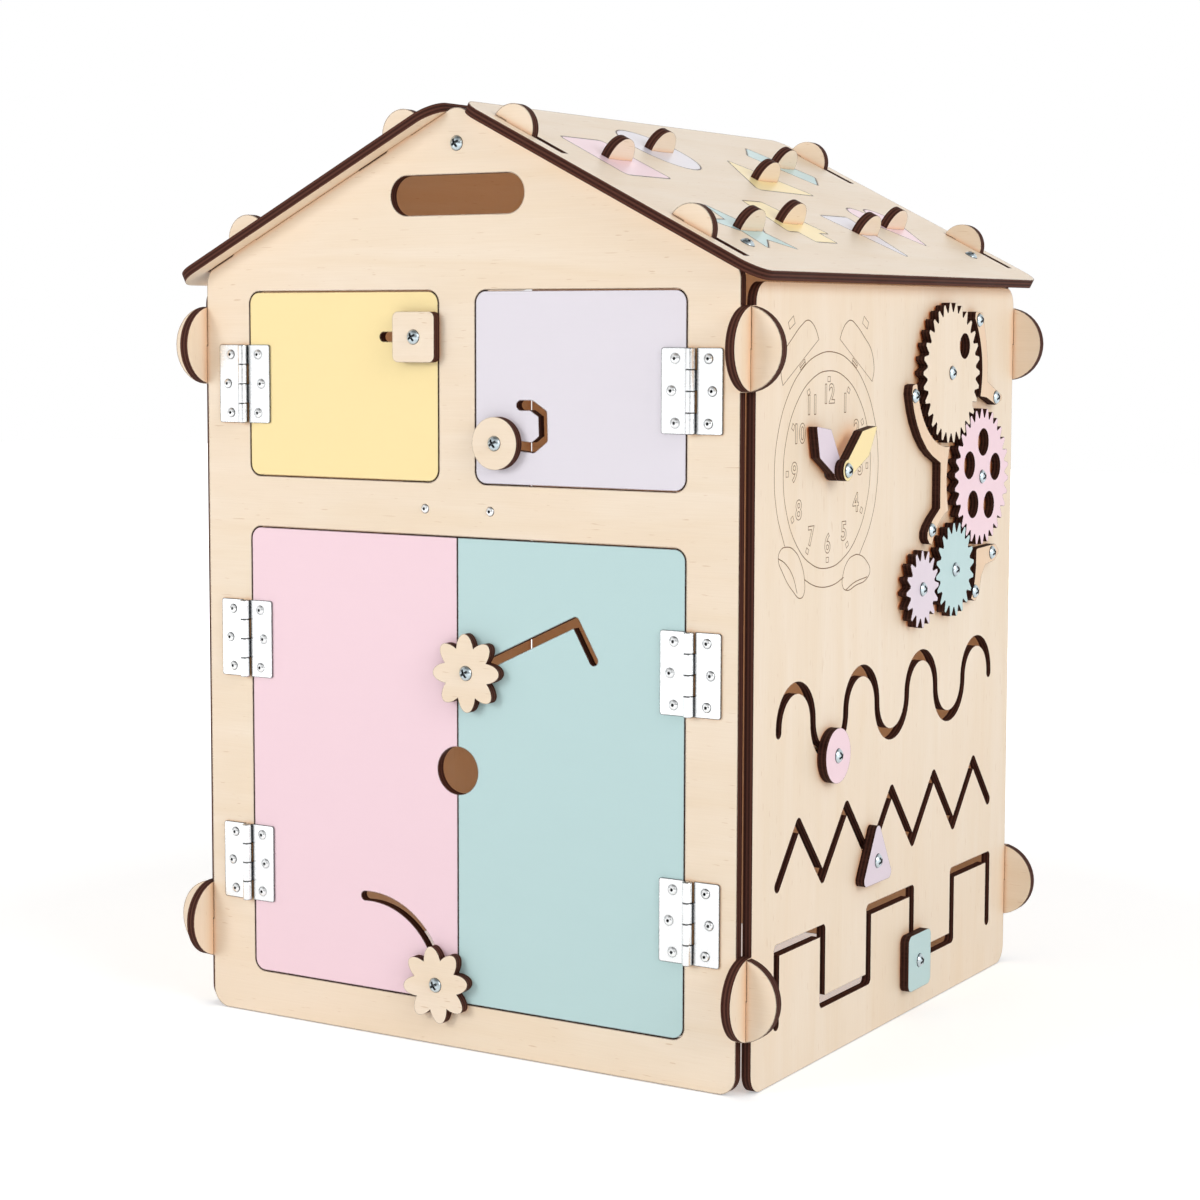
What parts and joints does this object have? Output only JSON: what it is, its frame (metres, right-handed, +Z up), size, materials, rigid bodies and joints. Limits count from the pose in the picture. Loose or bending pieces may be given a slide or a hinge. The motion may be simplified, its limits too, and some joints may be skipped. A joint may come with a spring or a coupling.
{
  "type": "busy board house",
  "caption": "Plywood play house without a floor: hinged doors with sliding latches, mazes, a clock and meshing gears on one side, and a shape sorter in the roof.",
  "frame": {"origin": "on the floor under the middle of the house", "axes": "+Z up; the doors face -Y; the side with the gears and the clock faces +X"},
  "size_m": [0.443, 0.4378, 0.5837],
  "materials": {
    "birch_plywood": "matte, bare sanded veneer with dark laser-cut edges",
    "pink_painted_plywood": "matte paint",
    "mint_painted_plywood": "matte paint",
    "yellow_painted_plywood": "matte paint",
    "lilac_painted_plywood": "matte paint",
    "zinc_plated_steel": "bright zinc"
  },
  "bodies": {
    "frame": {"front_panel": "birch_plywood", "back_panel": "birch_plywood", "left_panel": "birch_plywood", "right_panel": "birch_plywood", "left_roof": "birch_plywood", "right_roof": "birch_plywood", "roof_backing": "birch_plywood", "door_stop_strip": "birch_plywood", "left_gear_guard": "birch_plywood", "upper_gear_guard": "birch_plywood", "lower_gear_guard": "birch_plywood", "panel_fasteners": "zinc_plated_steel", "frame_hinge_halves": "zinc_plated_steel", "frame_rivets": "zinc_plated_steel", "axle_fasteners": "zinc_plated_steel"},
    "yellow_door": {"yellow_door": "yellow_painted_plywood", "yellow_door_hinge_half": "zinc_plated_steel"},
    "lilac_door": {"lilac_door": "lilac_painted_plywood", "lilac_door_hinge_half": "zinc_plated_steel"},
    "pink_door": {"pink_door": "pink_painted_plywood", "pink_door_hinge_halves": "zinc_plated_steel"},
    "mint_door": {"mint_door": "mint_painted_plywood", "mint_door_hinge_halves": "zinc_plated_steel"},
    "square_latch": {"square_latch_knob": "birch_plywood", "square_latch_fastener": "zinc_plated_steel"},
    "round_latch": {"round_latch_knob": "birch_plywood", "round_latch_fastener": "zinc_plated_steel"},
    "upper_flower": {"upper_flower_latch": "birch_plywood", "upper_flower_fastener": "zinc_plated_steel"},
    "lower_flower": {"lower_flower_latch": "birch_plywood", "lower_flower_fastener": "zinc_plated_steel"},
    "natural_gear": {"natural_gear": "birch_plywood"},
    "pink_gear": {"pink_gear": "pink_painted_plywood"},
    "mint_gear": {"mint_gear": "mint_painted_plywood"},
    "lilac_gear": {"lilac_gear": "lilac_painted_plywood"},
    "lilac_clock_hand": {"lilac_clock_hand": "lilac_painted_plywood"},
    "yellow_clock_hand": {"yellow_clock_hand": "yellow_painted_plywood"},
    "round_maze_slider": {"round_maze_knob": "pink_painted_plywood", "round_maze_fastener": "zinc_plated_steel"},
    "triangle_maze_slider": {"triangle_maze_knob": "lilac_painted_plywood", "triangle_maze_fastener": "zinc_plated_steel"},
    "oblong_maze_slider": {"oblong_maze_knob": "mint_painted_plywood", "oblong_maze_fastener": "zinc_plated_steel"},
    "square_piece": {"square_shape": "pink_painted_plywood", "square_handle": "birch_plywood"},
    "circle_piece": {"circle_shape": "lilac_painted_plywood", "circle_handle": "birch_plywood"},
    "triangle_piece": {"triangle_shape": "yellow_painted_plywood", "triangle_handle": "birch_plywood"},
    "rectangle_piece": {"rectangle_shape": "mint_painted_plywood", "rectangle_handle": "birch_plywood"},
    "star_piece": {"star_shape": "mint_painted_plywood", "star_handle": "birch_plywood"},
    "lamp_piece": {"lamp_shape": "yellow_painted_plywood", "lamp_handle": "birch_plywood"},
    "wedge_piece": {"wedge_shape": "lilac_painted_plywood", "wedge_handle": "birch_plywood"},
    "heart_piece": {"heart_shape": "pink_painted_plywood", "heart_handle": "birch_plywood"}
  },
  "joints": [
    {"name": "yellow_door_swing", "type": "hinge", "parent": "frame", "child": "yellow_door", "pos_m": [-0.164, -0.2022, 0.4116], "axis": [0, 0, -1], "range_deg": [0, 150]},
    {"name": "lilac_door_swing", "type": "hinge", "parent": "frame", "child": "lilac_door", "pos_m": [0.164, -0.2022, 0.4116], "axis": [0, 0, 1], "range_deg": [0, 150]},
    {"name": "pink_door_swing", "type": "hinge", "parent": "frame", "child": "pink_door", "pos_m": [-0.164, -0.2022, 0.1735], "axis": [0, 0, -1], "range_deg": [0, 150]},
    {"name": "mint_door_swing", "type": "hinge", "parent": "frame", "child": "mint_door", "pos_m": [0.164, -0.2022, 0.1735], "axis": [0, 0, 1], "range_deg": [0, 150]},
    {"name": "square_latch_slide", "type": "slide", "parent": "yellow_door", "child": "square_latch", "axis": [-1, 0, 0], "range_m": [0, 0.0265]},
    {"name": "round_latch_slide", "type": "slide", "parent": "lilac_door", "child": "round_latch", "axis": [0.9958, 0, -0.0913], "range_m": [0, 0.0241]},
    {"name": "upper_flower_slide", "type": "slide", "parent": "mint_door", "child": "upper_flower", "axis": [0.9032, 0, 0.4293], "range_m": [0, 0.0829]},
    {"name": "lower_flower_swing", "type": "hinge", "parent": "pink_door", "child": "lower_flower", "pos_m": [-0.0671, -0.2053, 0.0342], "axis": [0, -1, 0], "range_deg": [0, 89]},
    {"name": "natural_gear_turn", "type": "hinge", "parent": "frame", "child": "natural_gear", "pos_m": [0.20565, 0.0712, 0.4182], "axis": [1, 0, 0], "continuous": true},
    {"name": "pink_gear_turn", "type": "hinge", "parent": "frame", "child": "pink_gear", "pos_m": [0.20565, 0.12403, 0.34758], "axis": [1, 0, 0], "continuous": true},
    {"name": "mint_gear_turn", "type": "hinge", "parent": "frame", "child": "mint_gear", "pos_m": [0.20565, 0.08094, 0.28804], "axis": [1, 0, 0], "continuous": true},
    {"name": "lilac_gear_turn", "type": "hinge", "parent": "frame", "child": "lilac_gear", "pos_m": [0.20565, 0.02873, 0.27939], "axis": [1, 0, 0], "continuous": true},
    {"name": "lilac_hand_turn", "type": "hinge", "parent": "frame", "child": "lilac_clock_hand", "pos_m": [0.20565, -0.0975, 0.3625], "axis": [1, 0, 0], "continuous": true},
    {"name": "yellow_hand_turn", "type": "hinge", "parent": "frame", "child": "yellow_clock_hand", "pos_m": [0.2118, -0.0975, 0.3625], "axis": [1, 0, 0], "continuous": true},
    {"name": "round_maze_knob_run", "type": "hinge", "parent": "frame", "child": "round_maze_slider", "pos_m": [0.2048, -0.09205, 0.2114], "axis": [1, 0, 0], "range_deg": [-80, 80]},
    {"name": "triangle_maze_knob_run", "type": "slide", "parent": "frame", "child": "triangle_maze_slider", "axis": [0, 0.6536, 0.7568], "range_m": [0, 0.0506]},
    {"name": "oblong_maze_knob_run", "type": "slide", "parent": "frame", "child": "oblong_maze_slider", "axis": [0, 1, 0], "range_m": [0, 0.066]},
    {"name": "square_piece_lift", "type": "slide", "parent": "frame", "child": "square_piece", "axis": [0.4524, 0, 0.8918], "range_m": [0, 0.03]},
    {"name": "circle_piece_lift", "type": "slide", "parent": "frame", "child": "circle_piece", "axis": [0.4524, 0, 0.8918], "range_m": [0, 0.03]},
    {"name": "triangle_piece_lift", "type": "slide", "parent": "frame", "child": "triangle_piece", "axis": [0.4524, 0, 0.8918], "range_m": [0, 0.03]},
    {"name": "rectangle_piece_lift", "type": "slide", "parent": "frame", "child": "rectangle_piece", "axis": [0.4524, 0, 0.8918], "range_m": [0, 0.03]},
    {"name": "star_piece_lift", "type": "slide", "parent": "frame", "child": "star_piece", "axis": [0.4524, 0, 0.8918], "range_m": [0, 0.03]},
    {"name": "lamp_piece_lift", "type": "slide", "parent": "frame", "child": "lamp_piece", "axis": [0.4524, 0, 0.8918], "range_m": [0, 0.03]},
    {"name": "wedge_piece_lift", "type": "slide", "parent": "frame", "child": "wedge_piece", "axis": [0.4524, 0, 0.8918], "range_m": [0, 0.03]},
    {"name": "heart_piece_lift", "type": "slide", "parent": "frame", "child": "heart_piece", "axis": [0.4524, 0, 0.8918], "range_m": [0, 0.03]}
  ],
  "couplings": [
    {"joint": "mint_door_swing", "follows": "pink_door_swing", "ratio": 1},
    {"joint": "pink_gear_turn", "follows": "natural_gear_turn", "ratio": -1},
    {"joint": "mint_gear_turn", "follows": "natural_gear_turn", "ratio": 1.5},
    {"joint": "lilac_gear_turn", "follows": "natural_gear_turn", "ratio": -1.875}
  ]
}
